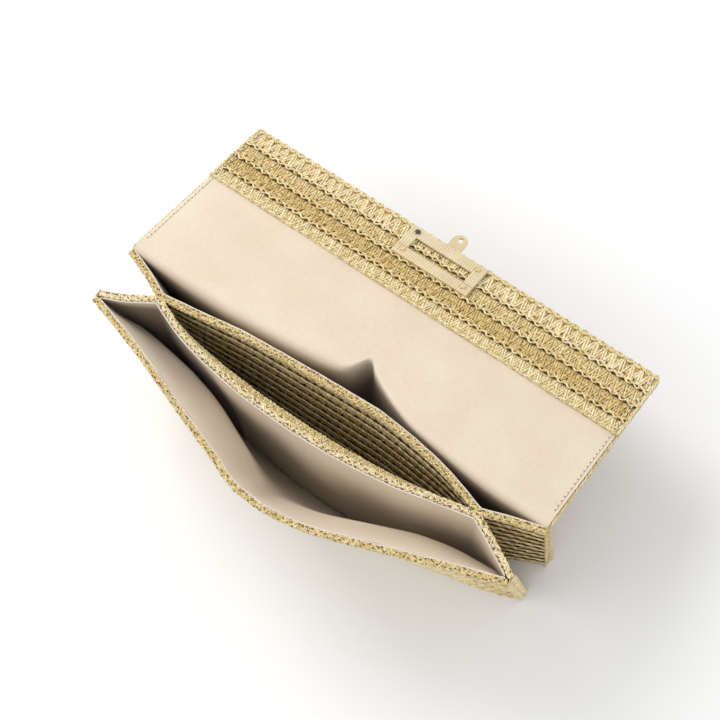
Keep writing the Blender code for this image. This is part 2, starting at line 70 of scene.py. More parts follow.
BACK_ROW, SPINE_ROW, COVER_ROW = 11.2, 11.0, 10.95  # the depth of a row of plait
LOOP, CORD_TWIST = 5.65, 6.5  # from one loop of a plait's edge to the next, and one turn of an edge's cord
RIM = {"pitch": 4.4, "size": 0.66, "tilt": 0, "chain": False}
SIDE_PLAIT = {"pitch": 4.6, "size": 0.7, "step": 0.4, "tilt": 0, "chain": False}
PLAIT_H, GROUND_H = -1.5, -0.45  # the outer straw's middle on the back sheet, and the ground behind it, painted dark as shade
BAND_H, STITCH_H = 1.9, 1.55  # the band's middle, and the top of the lining's stitches
SIDE_STITCH_IN = 3.0  # from the flap's sides to their stitches
LINING_INSET, FLAP_INSET = 2.2, 1.0  # how far the linings stop short of the walls' ends and the flap's sides

CLASP_X = 1.0  # the clasp's and the lock's middle, right of the purse's
LOCK_Z, LOCK_REACH = 25.5, (14.5, 12.5)  # the lock's middle, and where the straw under it is pressed flat
TACK_X = 103  # about where the dividers are sewn together, left and right of the middle
BOWED = (-12, 46)  # from the middle, the stretch where the flap's fold is bowed the most

# plan curves of the walls' middles, at the table and at the mouth: (x, y) from the left end to the right end,
# or of the right half where the two halves are alike
REAR_FOOT = [(0, -21.0), (60, -20.5), (102, -18.0), (118, -11.0), (134.2, -3.2)]
REAR_MOUTH = [(-135.2, -1.4), (-120, -6.4), (-104.5, -13.0), (-81, -9.5), (-56, -5.5), (-31, -3.3), (9, -0.7)]
REAR_MOUTH += [(36, 0.0), (71.5, -4.2), (102, -12.4), (118, -6.8), (135.2, -1.6)]
DIVIDER_FOOT = [(0, -41.0), (60, -36.5), (102, -28.8), (118, -26.0), (133.6, -23.4)]
DIVIDER_MOUTH = [(-134.4, -30.9), (-120, -24.4), (-104.5, -15.2), (-77, -24.4), (-41, -29.7), (-9, -30.8)]
DIVIDER_MOUTH += [(23, -29.4), (55.5, -25.1), (79, -19.6), (102, -14.4), (118, -22.4), (133.4, -31.0)]
FRONT_FOOT = [(0, -53.0), (20, -52.6), (60, -47.0), (94, -39.5), (119, -33.0), (133.6, -26.8)]
FRONT_MOUTH = [(-134.6, -33.9), (-100, -43.0), (-52, -58.5), (-26, -66.8), (-12, -71.9), (1, -73.2)]
FRONT_MOUTH += [(16, -72.7), (37, -68.4), (66, -58.0), (98, -46.0), (133.4, -33.2)]
BACK_FOOT = [(0, -2.9), (60, -3.5), (102, -4.0), (118, -2.4), (134.2, 0.0)]

# where the opened flap's fold runs, measured down the flap from its side corners, and how softly it turns
FOLD_LINE = [(-135, 0), (-83, 0), (-60, 0.5), (-29, 4), (-6, 8.5), (3, 13.5), (9, 24.5), (16, 19.5)]
FOLD_LINE += [(25, 14.4), (39, 8.4), (54, 4.4), (90, 0.4), (135, 0)]
FOLD_REACH = [(-135, 4), (-100, 9), (-60, 13), (-29, 13), (-6, 8), (3, 3), (9, 1.0), (20, 1.2), (40, 2.2)]
FOLD_REACH += [(90, 6), (135, 4)]

# how far the front's lining leans in below the mouth, from left to right
LOBES = [(-135, 0), (-116, 6), (-70, 12), (-31, 8.4), (-9, 4.6), (2, 0.4), (10, 2.0), (23, 4.6), (60, 9)]
LOBES += [(95, 10), (126, 4), (135, 0)]

rng = np.random.default_rng(7)


# ---------------------------------------------------------------- curves and surfaces


def mirrored(right):
    return [(-x, y) for x, y in reversed(right[1:])] + list(right)


def smooth_through(points, count=541):
    """Points evenly spaced along a smooth curve through the given ones."""
    pts = np.array(points, float)
    ends = np.vstack([2 * pts[0] - pts[1], pts, 2 * pts[-1] - pts[-2]])
    fine = []
    for a, b, c, d in zip(ends, ends[1:], ends[2:], ends[3:], strict=False):
        t = np.linspace(0, 1, 60, endpoint=False)[:, None]
        bend = (2 * a - 5 * b + 4 * c - d) * t**2 + (3 * b - a - 3 * c + d) * t**3
        fine.append(0.5 * (2 * b + (c - a) * t + bend))
    fine = np.vstack([*fine, pts[-1:]])
    along = np.r_[0, np.cumsum(np.hypot(*np.diff(fine, axis=0).T))]
    at = np.linspace(0, along[-1], count)
    return np.stack([np.interp(at, along, fine[:, k]) for k in (0, 1)], 1)


def divider_curve(whole):
    """A divider's curve, with a slightly rounded turn at each tack."""
    turns = [i for i, p in enumerate(whole) if abs(abs(p[0]) - TACK_X) < 2]
    parts = [whole[: turns[0] + 1], whole[turns[0] : turns[1] + 1], whole[turns[1] :]]
    curves = [smooth_through(p, n) for p, n in zip(parts, (61, 421, 61), strict=True)]
    line = np.vstack([curves[0], curves[1][1:], curves[2][1:]])
    for _ in range(6):
        line[1:-1] = (line[:-2] + 2 * line[1:-1] + line[2:]) / 4
    return line


def sideways(line):
    """Unit vectors to the front of a plan curve that runs from left to right."""
    run = np.gradient(line, axis=0)
    run /= np.hypot(*run.T)[:, None]
    return np.stack([run[:, 1], -run[:, 0]], 1)


def at_rows(table, t):
    """Rows of a table at fractional places."""
    low = np.clip(np.floor(t).astype(int), 0, len(table) - 2)
    share = (t - low)[:, None]
    return table[low] * (1 - share) + table[low + 1] * share


class Wall:
    """A wall ruled from its foot curve to its mouth curve."""

    def __init__(self, foot, mouth):
        self.lines = (foot, mouth)
        self.sides = (sideways(foot), sideways(mouth))
        self.length = np.hypot(*np.diff(mouth, axis=0).T).sum()

    def __call__(self, u, z, d):
        t = np.clip(u / self.length, 0, 1) * (len(self.lines[0]) - 1)
        share = (z / HEIGHT)[:, None]
        low, high = (
            at_rows(line, t) + at_rows(side, t) * d[:, None]
            for line, side in zip(self.lines, self.sides, strict=True)
        )
        plan = low * (1 - share) + high * share
        return np.column_stack([plan, z])


def tabled(pairs, x):
    """A smooth value at x from (x, value) pairs."""
    line = smooth_through(pairs, 800)
    return np.interp(x, line[:, 0], line[:, 1])


class BackSheet:
    """Back wall, fold and flap. v is -HEIGHT at the foot, 0 at the fold, and from there the way down the flap
    as it is at the sides; the fold itself runs where FOLD_LINE says."""

    def __init__(self):
        self.foot = smooth_through(mirrored(BACK_FOOT))

    def frame(self, u, v):
        """Points of the middle of the sheet, the directions of h, and the way from the fold."""
        x = u - HALF
        fold_s, reach = tabled(FOLD_LINE, x), tabled(FOLD_REACH, x)
        fold = np.outer(fold_s, ALONG) + np.array([0, HEIGHT])
        foot = np.column_stack([np.interp(x, self.foot[:, 0], self.foot[:, 1]), np.zeros(len(x))])
        down = foot - fold
        tall = np.hypot(*down.T)
        down /= tall[:, None]
        on_flap = np.where(v < SPLIT_S, fold_s + v / SPLIT_S * (SPLIT_S - fold_s), v) - fold_s
        way = np.where(v < 0, v / HEIGHT * tall, on_flap)
        t = np.clip((way + reach) / (2 * reach), 0, 1)[:, None]
        wall_end, flap_end = fold + down * reach[:, None], fold + ALONG * reach[:, None]
        turn = (1 - t) ** 2 * wall_end + 2 * t * (1 - t) * fold + t**2 * flap_end
        beyond = np.where(way < -reach, -way - reach, 0)[:, None] * down
        beyond = beyond + np.where(way > reach, way - reach, 0)[:, None] * ALONG
        run = (1 - t) * -down + t * ALONG
        run /= np.hypot(*run.T)[:, None]
        return x, turn + beyond, np.column_stack([-run[:, 1], run[:, 0]]), way, fold_s

    def __call__(self, u, v, h):
        x, mid, up, _, _ = self.frame(u, v)
        return np.column_stack([x, mid + up * h[:, None]])

    def follow(self, u, v):
        """1 where a point goes with the flap, 0 where it stays with the wall. It turns from one to the other
        within 3 mm past the hinge line or the fold, and at once where the fold is bowed far down the flap."""
        _, _, _, way, fold_s = self.frame(u, v)
        start = np.maximum(HINGE_S - fold_s, 0) + 0.6
        soft = 3.0 * np.clip(1 - (fold_s - 9) / 5, 0.01, 1)
        t = np.clip((way - start) / soft, 0, 1)
        return t * t * (3 - 2 * t)


REAR = Wall(divider_curve(mirrored(REAR_FOOT)), divider_curve(REAR_MOUTH))
DIVIDER = Wall(divider_curve(mirrored(DIVIDER_FOOT)), divider_curve(DIVIDER_MOUTH))
FRONT = Wall(smooth_through(mirrored(FRONT_FOOT)), smooth_through(FRONT_MOUTH))
BACK = BackSheet()


# ---------------------------------------------------------------- meshes


def new_object(name, data):
    ob = bpy.data.objects.new(name, data)
    bpy.context.scene.collection.objects.link(ob)
    return ob


def build(name, verts, faces, mat, attributes=None, smooth=True):
    """A mesh from points in millimetres in the purse's axes and an array of faces with four corners each."""
    verts = np.asarray(verts, float)
    mesh = bpy.data.meshes.new(name)
    faces = np.asarray(faces, np.int32)
    mesh.vertices.add(len(verts))
    mesh.vertices.foreach_set("co", ((verts + np.array([0, SHIFT_Y, 0])) * MM).astype(np.float32).ravel())
    mesh.loops.add(faces.size)
    mesh.loops.foreach_set("vertex_index", faces.ravel())
    mesh.polygons.add(len(faces))
    mesh.polygons.foreach_set("loop_start", np.arange(0, faces.size, faces.shape[1], dtype=np.int32))
    mesh.polygons.foreach_set("use_smooth", np.full(len(faces), smooth))
    for key, values in (attributes or {}).items():
        values = np.asarray(values, np.float32)
        kind, field = ("FLOAT", "value") if values.ndim == 1 else ("FLOAT_VECTOR", "vector")
        mesh.attributes.new(key, kind, "POINT").data.foreach_set(field, values.ravel())
    mesh.update(calc_edges=True)
    mesh.validate()
    mesh.materials.append(mat)
    return new_object(name, mesh)


def stand_for(ob, *nodes):
    """Hides the CAD nodes that a piece stands in for."""
    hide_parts(*nodes)


def tube_faces(rings, sides, start=0, closed=True):
    """Quads of a tube whose points come ring by ring."""
    i = np.arange(rings - 1)[:, None] * sides
    k = np.arange(sides if closed else sides - 1)[None, :]
    nxt = (k + 1) % sides
    quads = np.stack([i + k, i + nxt, i + sides + nxt, i + sides + k], -1)
    return quads.reshape(-1, 4) + start


def grid(us, vs):
    """The u, the v and the faces of a grid."""
    u, v = (g.ravel() for g in np.meshgrid(us, vs, indexing="ij"))
    i, k = (g.ravel() for g in np.meshgrid(np.arange(len(us) - 1), np.arange(len(vs) - 1), indexing="ij"))
    a = i * len(vs) + k
    return u, v, np.stack([a, a + len(vs), a + len(vs) + 1, a + 1], 1)


SECTION = np.array([(1.0, -0.4), (0.0, 1.0), (-1.0, -0.4)])  # a strand's, in half widths and thicknesses
GAP_SHADE_TONE, GROUND_SHADE_TONE = -4.0, -1.7  # painted shade: the dark tones of the gaps between strands, and of the ground behind them


class Strands:
    """Collects flat strands and makes one mesh of them."""

    def __init__(self):
        self.parts, self.faces, self.tone, self.fibre, self.params = [], [], [], [], []
        self.count = 0

    def keep(self, place, u, v, h, faces, tone, fibre):
        """Takes in points and faces, one tone for all, and where each point is along and across its fibre."""
        self.parts.append(place(u, v, h))
        self.params.append(np.stack([u, v], 1))
        self.faces.append(faces + self.count)
        self.tone.append(np.full(len(u), tone))
        self.fibre.append(fibre)
        self.count += len(u)

    def add(self, place, u, v, h, half_width, half_thick, tone=0.5, swap=False):
        """A strand along (u, v, h), flat in u and v, put in space by place. swap: u and v change places."""
        du, dv = np.gradient(u), np.gradient(v)
        norm = np.hypot(du, dv) + 1e-9
        across_u, across_v = -dv / norm, du / norm
        along = np.r_[0, np.cumsum(np.hypot(np.diff(u), np.diff(v)))]
        n, sides = len(u), len(SECTION)
        wide, thick = SECTION[:, 0][None, :] * half_width[:, None], SECTION[:, 1][None, :] * half_thick
        uu, vv = u[:, None] + across_u[:, None] * wide, v[:, None] + across_v[:, None] * wide
        hh = (h[:, None] + thick).ravel()
        pair = (vv.ravel(), uu.ravel()) if swap else (uu.ravel(), vv.ravel())
        shift = rng.uniform(0, 400)
        around = np.broadcast_to(SECTION[:, 0] * 1.1, (n, sides))
        fibre = np.stack([np.repeat(along + shift, sides), around.ravel(), np.full(n * sides, shift)], 1)
        self.keep(place, *pair, hh, tube_faces(n, sides), tone, fibre)

    def ground(self, place, us, vs, h):
        """A ground behind the strands, painted dark as their shade."""
        u, v, faces = grid(us, vs)
        self.keep(place, u, v, np.full(len(u), h), faces, GROUND_SHADE_TONE, np.column_stack([u, v, v]))

    def mesh(self, name, mat):
        attributes = {"tone": np.concatenate(self.tone), "fibre": np.vstack(self.fibre)}
        return build(name, np.vstack(self.parts), np.vstack(self.faces), mat, attributes)


def wander(t, size, step):
    """A smooth random change along t."""
    out = np.zeros(len(t))
    for k in range(3):
        out += math.sqrt(0.5) * np.sin(t / (step * (1 + 0.7 * k)) + rng.uniform(0, 6.28))
    return out * size / 1.5


def scallop(t):
    """A zigzag with softened points, one per unit of t, at 1 where t is whole."""
    return np.arcsin(0.96 * np.cos(2 * np.pi * t)) / math.asin(0.96)


def edge_chain(strands, place, span, over, sign, h, facing, shift, pitch=LOOP, size=1.0, step=0.8):
    """The looped edge of a plait: a zigzag that hangs over the next row, and a second one behind it. Their
    tones are lighter than the fill's, a painted highlight of the raised loops.
    """
    t = np.arange(span[0], span[1], step)
    wave = scallop((t + shift) / pitch - 0.5)
    # how far out, swing, rise and half width of each zigzag
    for out, swing, rise, half_width in ((-0.25, 1.15, 0.34, 0.68), (-1.5, -0.75, 0.05, 0.6)):
        v = over + sign * size * (out + swing * wave + wander(t, 0.16, 1.9))
        hh = h + facing * size * (rise + 0.22 * wave * math.copysign(1, swing) + wander(t, 0.07, 1.7))
        wide = half_width * size * (1 + wander(t, 0.12, 1.5))
        # painted highlight: the loops take tones from the lighter half only
        strands.add(place, t + wander(t, 0.15, 2.1), v, hh, wide, facing * 0.45 * size, rng.uniform(0.5, 1.0))


def plait_row(
    strands, place, length, hidden, over, base, facing, row=0, pitch=LOOP, step=0.47, size=1.0, tilt=1.15,
    chain=True,
):
    """One flat plait of the straw, from its hidden edge to the looped edge that lies over the next row: steep
    zigzags of doubled strands, one over the other. facing is 1 where the outer side has a larger h than the
    inner and -1 where it has a smaller one, base is the h of its middle, and row its number: the loops of one
    row stand between those of the next. tilt lifts the looped edge off the next row."""
    sign = math.copysign(1, over - hidden)
    top, bottom = hidden + sign * 0.2 * size, over - sign * 0.9 * size
    shift = -row * pitch / 2 + rng.uniform(-0.35, 0.35)
    span = (0.6 * size, length - 0.6 * size)
    t = np.arange(*span, step)
    slack = 0.16  # the rounded part of each turn
    for j, level in ((0, 0.26), (1, -0.22)):
        drift = wander(t, 0.22, 2.7)
        for beside in (-0.125, 0.125):
            phase = ((t + shift) / pitch + beside + j / 2) % 1.0
            tri = 1 - np.abs(2 * phase - 1)
            near = np.minimum(tri, 1 - tri)
            eased = np.where(near < slack, near**2 / (2 * slack) + slack / 2, near)
            tri = (np.where(tri < 0.5, eased, 1 - eased) - slack / 2) / (1 - slack)
            v = top + (bottom - top) * tri + wander(t, 0.35 * size, 1.3)
            sway = 0.16 * np.cos(2 * np.pi * phase * 2)
            lean = size * (tilt * (tri - 0.45) + level + sway + wander(t, 0.15, 1.1))
            wide = 0.74 * size * (1 + wander(t, 0.22, 1.1))
            tone = rng.uniform(0, 1)
            strands.add(place, t + drift, v, base + facing * lean, wide, facing * 0.42 * size, tone)
    if not chain:
        return
    rise = base + facing * tilt * size * 0.58
    edge_chain(strands, place, span, over, sign, rise, facing, shift, pitch, size, 0.85)
    # painted shade: dark strands in the gaps between the loops
    for spot in np.arange(span[0] + 1 + (pitch / 2 - shift) % pitch, span[1] - 1, pitch):
        up = np.linspace(-0.95, 0.95, 5) * size
        at = spot + rng.uniform(-0.5, 0.5) + up * rng.uniform(-0.5, 0.5)
        deep = over - sign * (3.1 * size + rng.uniform(-0.35, 0.35)) + up
        level = np.full(5, base + facing * (tilt * size * 0.36 + rng.uniform(0.2, 0.5)))
        wide = 0.6 * size * np.array([0.2, 0.8, 1, 0.8, 0.2]) * rng.uniform(0.6, 1.2)
        strands.add(place, at, deep, level, wide, 0.2, GAP_SHADE_TONE)


def cord(strands, place, us, v, h, radius, pitch=8.5, count=3, step=0.9, flat=0.85, swap=False):
    """A twisted cord of straw along u, for seams and edges."""
    t = np.arange(us[0], us[1] + 0.01, step)
    for j in range(count):
        turn = 2 * math.pi * (t / pitch + j / count)
        vv = v + radius * 0.5 * np.cos(turn) + wander(t, 0.12, 1.7)
        hh = h + radius * 0.5 * flat * np.sin(turn) + wander(t, 0.06, 1.4)
        wide = radius * 0.68 * (1 + wander(t, 0.16, 1.9))
        strands.add(place, t, vv, hh, wide, radius * 0.5, rng.uniform(0.2, 1), swap)


def stray(strands, place, us, v, h, count, swap=False):
    """Loose fibres that stand off an edge."""
    for _ in range(count):
        n, length = 7, rng.uniform(2.0, 5.5)
        t = np.linspace(0, 1, n)
        u = rng.uniform(*us) + length * t * rng.choice([-1, 1])
        lean = rng.uniform(-1.2, 1.2) * t**2
        rise = rng.uniform(0.2, 1.3) * t**1.5
        strands.add(place, u, v + lean, h + rise, 0.13 * (1.2 - t), 0.09, rng.uniform(0.5, 1), swap)


def grid_sheet(name, place, us, vs, mat, lift, depth=None):
    """A sheet of cloth over a grid, and the u and v of its points. lift(u, v) is its height, and depth(u, v)
    is its painted shade: 0 where it lies open and 1 deep inside a pouch."""
    u, v, faces = grid(us, vs)
    cloth = np.column_stack([u, v, np.clip(depth(u, v), 0, 1) if depth else 0 * u])
    return build(name, place(u, v, lift(u, v)), faces, mat, {"cloth": cloth}), u, v


def thread(points, radius, sides=6):
    """Points and faces of a tube along a line of points."""
    points = np.asarray(points, float)
    run = np.gradient(points, axis=0)
    run /= np.linalg.norm(run, axis=1)[:, None] + 1e-12
    ref = np.where(np.abs(run[:, 2:3]) > 0.9, [[1.0, 0, 0]], [[0, 0, 1.0]])
    one = np.cross(run, ref)
    one /= np.linalg.norm(one, axis=1)[:, None]
    two = np.cross(run, one)
    angle = 2 * np.pi * np.arange(sides) / sides
    r = np.broadcast_to(radius, (len(points),))[:, None, None]
    ring = one[:, None] * np.cos(angle)[None, :, None] + two[:, None] * np.sin(angle)[None, :, None]
    return (points[:, None] + ring * r).reshape(-1, 3), tube_faces(len(points), sides)


class Threads:
    """Collects tubes and makes one mesh of them."""

    def __init__(self):
        self.verts, self.faces, self.tone, self.count = [], [], [], 0

    def add(self, points, radius, sides=6, tone=1.0):
        verts, faces = thread(points, radius, sides)
        self.verts.append(verts)
        self.faces.append(faces + self.count)
        self.tone.append(np.full(len(verts), tone))
        self.count += len(verts)

    def stitches(self, place, us, v, h, pitch, radius, holes, gap=0.7, along="u"):
        """A line of sewing stitches that dive at both ends, with the needle's holes between them, painted
        dark as shade.
        """

        def put(at, side, height, thick, tone):
            pair = (at, side) if along == "u" else (side, at)
            self.add(place(*pair, height), thick, tone=tone)

        for start in np.arange(us[0], us[1] - pitch, pitch):
            at = np.linspace(start + gap / 2, start + pitch - gap / 2, 6)
            dip = -0.35 * np.abs(np.linspace(-1, 1, 6)) ** 3
            side = v + rng.uniform(-0.08, 0.08) + np.zeros(6)
            put(at, side, h + dip, radius * np.array([0.6, 1, 1, 1, 1, 0.6]), 1.0)
            # painted shade: each needle's hole is a short sunk tube of tone 0, which the thread material
            # colours dark
            at = start + rng.uniform(-0.15, 0.15) + np.array([-1, -0.4, 0.4, 1]) * holes
            side = np.full(4, v + rng.uniform(-0.12, 0.12))
            put(at, side, np.full(4, h - holes * 0.72), holes * np.array([0.3, 1, 1, 0.3]), 0.0)

    def mesh(self, name, mat):
        tones = {"tone": np.concatenate(self.tone)}
        return build(name, np.vstack(self.verts), np.vstack(self.faces), mat, tones)


# ---------------------------------------------------------------- materials


def new_material(name):
    mat = bpy.data.materials.new(name)
    mat.use_nodes = True
    tree = mat.node_tree
    return mat, tree, tree.nodes["Principled BSDF"]


def node(tree, kind, inputs=None, **settings):
    """A node with its settings, and its inputs set to values or linked to sockets."""
    made = tree.nodes.new(kind)
    for key, value in settings.items():
        setattr(made, key, value)
    for key, value in (inputs or {}).items():
        if isinstance(value, bpy.types.NodeSocket):
            tree.links.new(value, made.inputs[key])
        else:
            made.inputs[key].default_value = value
    return made


def ramp(tree, factor, stops):
    """Colours by a factor, from (position, colour) stops."""
    made = node(tree, "ShaderNodeValToRGB", {"Fac": factor})
    made.color_ramp.elements[0].position, made.color_ramp.elements[0].color = stops[0][0], (*stops[0][1], 1)
    made.color_ramp.elements[1].position, made.color_ramp.elements[1].color = stops[-1][0], (*stops[-1][1], 1)
    for place, colour in stops[1:-1]:
        made.color_ramp.elements.new(place).color = (*colour, 1)
    return made.outputs["Color"]


def noise(tree, where, scale=1.0, detail=2.0, stretch=None, roughness=0.5):
    """Noise over a place, which is stretched first where asked."""
    if stretch:
        where = node(tree, "ShaderNodeMapping", {"Vector": where, "Scale": stretch}).outputs["Vector"]
    inputs = {"Vector": where, "Scale": scale, "Detail": detail, "Roughness": roughness}
    return node(tree, "ShaderNodeTexNoise", inputs).outputs["Fac"]


def maths(tree, operation, *values):
    return node(tree, "ShaderNodeMath", dict(enumerate(values)), operation=operation).outputs[0]


def surface(tree, shader, colour, height, bump, rough_by, rough):
    """Gives a shader its colour, its bump (strength and distance in metres) and a range of roughness."""
    tree.links.new(colour, shader.inputs["Base Color"])
    spread = node(tree, "ShaderNodeMapRange", {"Value": rough_by, "To Min": rough[0], "To Max": rough[1]})
    tree.links.new(spread.outputs[0], shader.inputs["Roughness"])
    relief = node(tree, "ShaderNodeBump", {"Height": height, "Strength": bump[0], "Distance": bump[1]})
    tree.links.new(relief.outputs["Normal"], shader.inputs["Normal"])


def mixed(tree, factor, first, second, blend="MIX"):
    """A mix of two colours, which are inputs 6 and 7 of its node."""
    inputs = {0: factor, 6: first, 7: second}
    return node(tree, "ShaderNodeMix", inputs, data_type="RGBA", blend_type=blend).outputs[2]


def straw_material():
    """Raffia: long fibres along each strand, every strand its own tone. The lowest tones paint the shade of
    gaps and of the ground behind the strands.
    """
    mat, tree, shader = new_material("straw")
    tone = node(tree, "ShaderNodeAttribute", attribute_name="tone").outputs["Fac"]
    fibre = node(tree, "ShaderNodeAttribute", attribute_name="fibre").outputs["Vector"]
    streak = noise(tree, fibre, detail=3.0, stretch=(0.34, 1.5, 1.0), roughness=0.62)
    blotch = noise(tree, fibre, detail=1.0, stretch=(0.55, 0.55, 1.0))
    shade = maths(tree, "MULTIPLY", tone, 0.26)
    for texture in (streak, blotch):
        shade = maths(tree, "MULTIPLY_ADD", texture, 0.75, shade)
    stops = [
        (0.20, (0.15, 0.09, 0.03)),
        (0.62, (0.43, 0.275, 0.08)),
        (0.76, (0.66, 0.475, 0.17)),
        (0.90, (0.79, 0.62, 0.285)),
        (1.00, (0.92, 0.80, 0.53)),
    ]
    surface(tree, shader, ramp(tree, shade, stops), streak, (0.9, 0.0004), streak, (0.36, 0.62))
    shader.inputs["Specular IOR Level"].default_value = 0.45
    shader.inputs["Sheen Weight"].default_value = 0.08
    return mat


def cloth_material(name, dark, light, weave=0.5, toned=False):
    """Plain cotton: fine threads both ways, with slight unevenness. Shade deep inside a pouch is painted into
    its colour as a darkening. Sewing thread is toned instead, and 0 marks a needle's hole, painted dark as
    shade."""
    mat, tree, shader = new_material(name)
    cloth = node(tree, "ShaderNodeTexCoord").outputs["Object"]
    warp, weft = (noise(tree, cloth, stretch=s) for s in ((2600.0, 300.0, 300.0), (300.0, 1500.0, 1500.0)))
    mesh = maths(tree, "ADD", warp, weft)
    slub = noise(tree, cloth, 28.0)
    tint = maths(tree, "MULTIPLY_ADD", slub, 0.5, maths(tree, "MULTIPLY", mesh, 0.35))
    colour = ramp(tree, tint, [(0.35, dark), (0.85, light)])
    if toned:
        # painted shade: a tone of 0 gives the dark of a needle's hole
        tone = node(tree, "ShaderNodeAttribute", attribute_name="tone").outputs["Fac"]
        colour = mixed(tree, tone, (0.2, 0.13, 0.07, 1), colour)
    else:
        # painted shade: the third value of the cloth attribute darkens the colour deep inside a pouch
        place = node(tree, "ShaderNodeAttribute", attribute_name="cloth").outputs["Vector"]
        depth = node(tree, "ShaderNodeSeparateXYZ", {"Vector": place}).outputs["Z"]
        colour = mixed(tree, depth, colour, (0.30, 0.255, 0.21, 1), "MULTIPLY")
    surface(tree, shader, colour, mesh, (weave, 0.00012), slub, (0.82, 0.95))
    shader.inputs["Sheen Weight"].default_value = 0.15
    shader.inputs["Sheen Roughness"].default_value = 0.6
    shader.inputs["Specular IOR Level"].default_value = 0.25
    return mat


def metal_material(name, dark, light, roughness, metallic=1.0):
    """Satin plating with fine brushing and a little wear."""
    mat, tree, shader = new_material(name)
    where = node(tree, "ShaderNodeTexCoord").outputs["Object"]
    hair = noise(tree, where, stretch=(300.0, 4000.0, 4000.0))
    wear = ramp(tree, noise(tree, where, 90.0), [(0.3, dark), (0.7, light)])
    surface(tree, shader, wear, hair, (0.12, 0.00005), hair, roughness)
    shader.inputs["Metallic"].default_value = metallic
    return mat


STRAW = straw_material()
COTTON = cloth_material("lining_cotton", (0.625, 0.52, 0.39), (0.755, 0.655, 0.52))
# paler than the lining: partly the hem's own whitish cotton, partly a painted highlight of its lit rolled
# fold
HEM = cloth_material("hem_cotton", (0.70, 0.61, 0.50), (0.82, 0.74, 0.63), 0.3)
THREAD = cloth_material("sewing_thread", (0.66, 0.58, 0.44), (0.86, 0.79, 0.66), 0.8, toned=True)
STRAW_THREAD = cloth_material("straw_thread", (0.60, 0.46, 0.20), (0.80, 0.66, 0.38), 0.8, toned=True)
PALE_GOLD = metal_material("pale_gold", (0.74, 0.63, 0.42), (0.83, 0.72, 0.50), (0.36, 0.50), 0.6)
GOLD = metal_material("gold", (0.83, 0.62, 0.28), (0.92, 0.74, 0.42), (0.24, 0.38), 0.9)
# painted shade: a near-black finish that stands for the shade inside an empty hole
HOLE_SHADE = metal_material("painted_hole_shade", (0.045, 0.035, 0.025), (0.10, 0.08, 0.05), (0.55, 0.75), 0.3)
TONGUE = metal_material("tongue_gold", (0.70, 0.56, 0.32), (0.80, 0.66, 0.41), (0.34, 0.48), 0.7)
STEEL = metal_material("plain_steel", (0.50, 0.49, 0.47), (0.62, 0.61, 0.60), (0.30, 0.42))


# ---------------------------------------------------------------- straw walls

WALL_ROWS, WALL_TOP, RIM_Z = 10, HEIGHT - 2.2, HEIGHT - 1.0


def press(ob):
    """A soft piece of the pouches, hung on their body with a mesh of its own."""
    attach(ob, "pouches")
    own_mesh(ob)


def over_top(wall):
    """The wall's mouth seen from above, with v across its thickness and h up."""
    return lambda u, v, h: wall(u, h, v)


def rolled_edge(strands, wall, facing):
    """The mouth's edge: a narrow plait rolled over two cords."""
    mouth, middle, ends = over_top(wall), facing * 0.25, (0.3, wall.length - 0.3)
    plait_row(strands, mouth, wall.length, middle - 1.8, middle + 1.8, RIM_Z, 1, **RIM)
    cord(strands, mouth, ends, middle, RIM_Z - 0.9, 1.5, pitch=CORD_TWIST, flat=0.7)
    cord(strands, mouth, ends, facing * 1.3, RIM_Z - 1.3, 0.8, pitch=LOOP, count=2)


def wide_edge(strands, facing):
    """The front divider's edge, which is rolled wider between its ends."""
    start = 34.0
    length = DIVIDER.length - 2 * start

    def rolled(u, v, h):
        out = np.sin(np.pi * np.clip(u / length, 0, 1)) ** 0.7
        return DIVIDER(u + start, HEIGHT - 2.0 - 0.45 * v + h, facing * (0.8 + v * out))

    plait_row(strands, rolled, length, 0.2, 5.4, 0.0, 1, **RIM)
    cord(strands, rolled, (0.5, length - 0.5), 2.6, -1.0, 1.5, pitch=CORD_TWIST, flat=0.7)
    cord(strands, rolled, (0.5, length - 0.5), 4.6, -0.6, 0.9, pitch=LOOP, count=2)


def edge_gap_shade(strands, wall, facing):
    """Painted shade: dark strands in the gaps between the strands of the rolled edge."""
    for at in np.arange(1.5, wall.length - 1.5, 2.1):
        along = at + rng.uniform(-0.7, 0.7) + np.linspace(-0.55, 0.55, 4) * rng.uniform(0.7, 1.5)
        across = facing * 0.25 + rng.uniform(-1.5, 1.5) + np.linspace(-0.3, 0.3, 4) * rng.uniform(-1, 1)
        level, wide = np.full(4, RIM_Z + 0.62), np.array([0.1, 0.34, 0.34, 0.1])
        strands.add(over_top(wall), along, across, level, wide, 0.12, GAP_SHADE_TONE)


def straw_wall(name, wall, facing):
    """Rows of plait, a ground behind them painted dark as shade, and the mouth's rolled edge with its loose
    fibres.
    """
    strands = Strands()
    pitch = (WALL_TOP - 0.5) / WALL_ROWS

    def place(u, z, d):
        """The wall, pressed flat where the lock is riveted on."""
        beside, above = np.abs(u - wall.length / 2 - CLASP_X), np.abs(z - LOCK_Z)
        under = (wall is FRONT) & (beside < LOCK_REACH[0]) & (above < LOCK_REACH[1])
        return wall(u, z, np.where(under, np.minimum(d, 0.1), d))

    for r in range(WALL_ROWS):
        low = 0.5 + r * pitch
        plait_row(strands, place, wall.length, low, low + pitch, 0.0, facing, row=r, step=0.56, tilt=1.0)
    us, zs = np.linspace(0.5, wall.length - 0.5, 110), np.linspace(0.4, WALL_TOP, 12)
    strands.ground(wall, us, zs, -facing * 0.75)
    rolled_edge(strands, wall, facing)
    if wall is DIVIDER:
        wide_edge(strands, facing)
    edge_gap_shade(strands, wall, facing)
    stray(strands, over_top(wall), (4, wall.length - 4), facing * 0.6, HEIGHT - 0.8, 40)
    return strands.mesh(name, STRAW)


